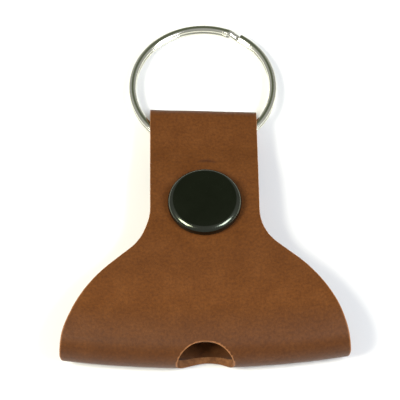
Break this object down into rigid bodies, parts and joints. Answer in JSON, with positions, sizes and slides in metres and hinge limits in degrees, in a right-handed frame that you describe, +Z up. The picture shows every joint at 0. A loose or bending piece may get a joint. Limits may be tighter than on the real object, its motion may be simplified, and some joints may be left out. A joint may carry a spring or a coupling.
{
  "type": "pick holder",
  "caption": "Fan-shaped folded leather pouch for guitar picks, shut by a domed snap, with a thumb notch and a strap loop that holds a split ring.",
  "frame": {"origin": "centre of the bounding box's base, on the table that the holder lies on", "axes": "+X across the strap, +Y from the pouch's fold to the ring, +Z up from the table, out of the cap"},
  "size_m": [0.0586, 0.0807, 0.0114],
  "materials": {
    "brown_leather": "smooth grain outside, suede inside, raw cut edges",
    "nickel_wire": "bright nickel plate",
    "gunmetal_cap": "polished black nickel plate",
    "snap_metal": "black nickel plate"
  },
  "bodies": {
    "back": {"back_panel": "brown_leather", "lower_fold": "brown_leather", "stud": "snap_metal", "stud_post": "snap_metal"},
    "front": {"front_panel": "brown_leather", "upper_fold": "brown_leather", "strap_tail": "brown_leather", "crease_front": "brown_leather", "crease_tail": "brown_leather", "snap_cap": "gunmetal_cap", "cap_post": "snap_metal", "socket": "snap_metal", "socket_spring": "snap_metal"},
    "loop": {"ring_loop": "brown_leather"},
    "ring": {"split_ring": "nickel_wire"}
  },
  "joints": [
    {"name": "pouch_open", "type": "hinge", "parent": "back", "child": "front", "pos_m": [0, -0.04037, 0.005], "axis": [1, 0, 0], "range_deg": [0, 120], "deforming": ["socket_spring"]},
    {"name": "strap_flex", "type": "hinge", "parent": "front", "child": "loop", "pos_m": [0, 0.00408, 0.0067], "axis": [1, 0, 0], "range_deg": [-25, 45], "stiffness_Nm_per_rad": 0.03, "deforming": ["crease_front", "crease_tail"]},
    {"name": "ring_turn", "type": "hinge", "parent": "loop", "child": "ring", "pos_m": [0, 0.02454, 0.00221], "axis": [0, 0.0765, 0.9971], "continuous": true}
  ]
}
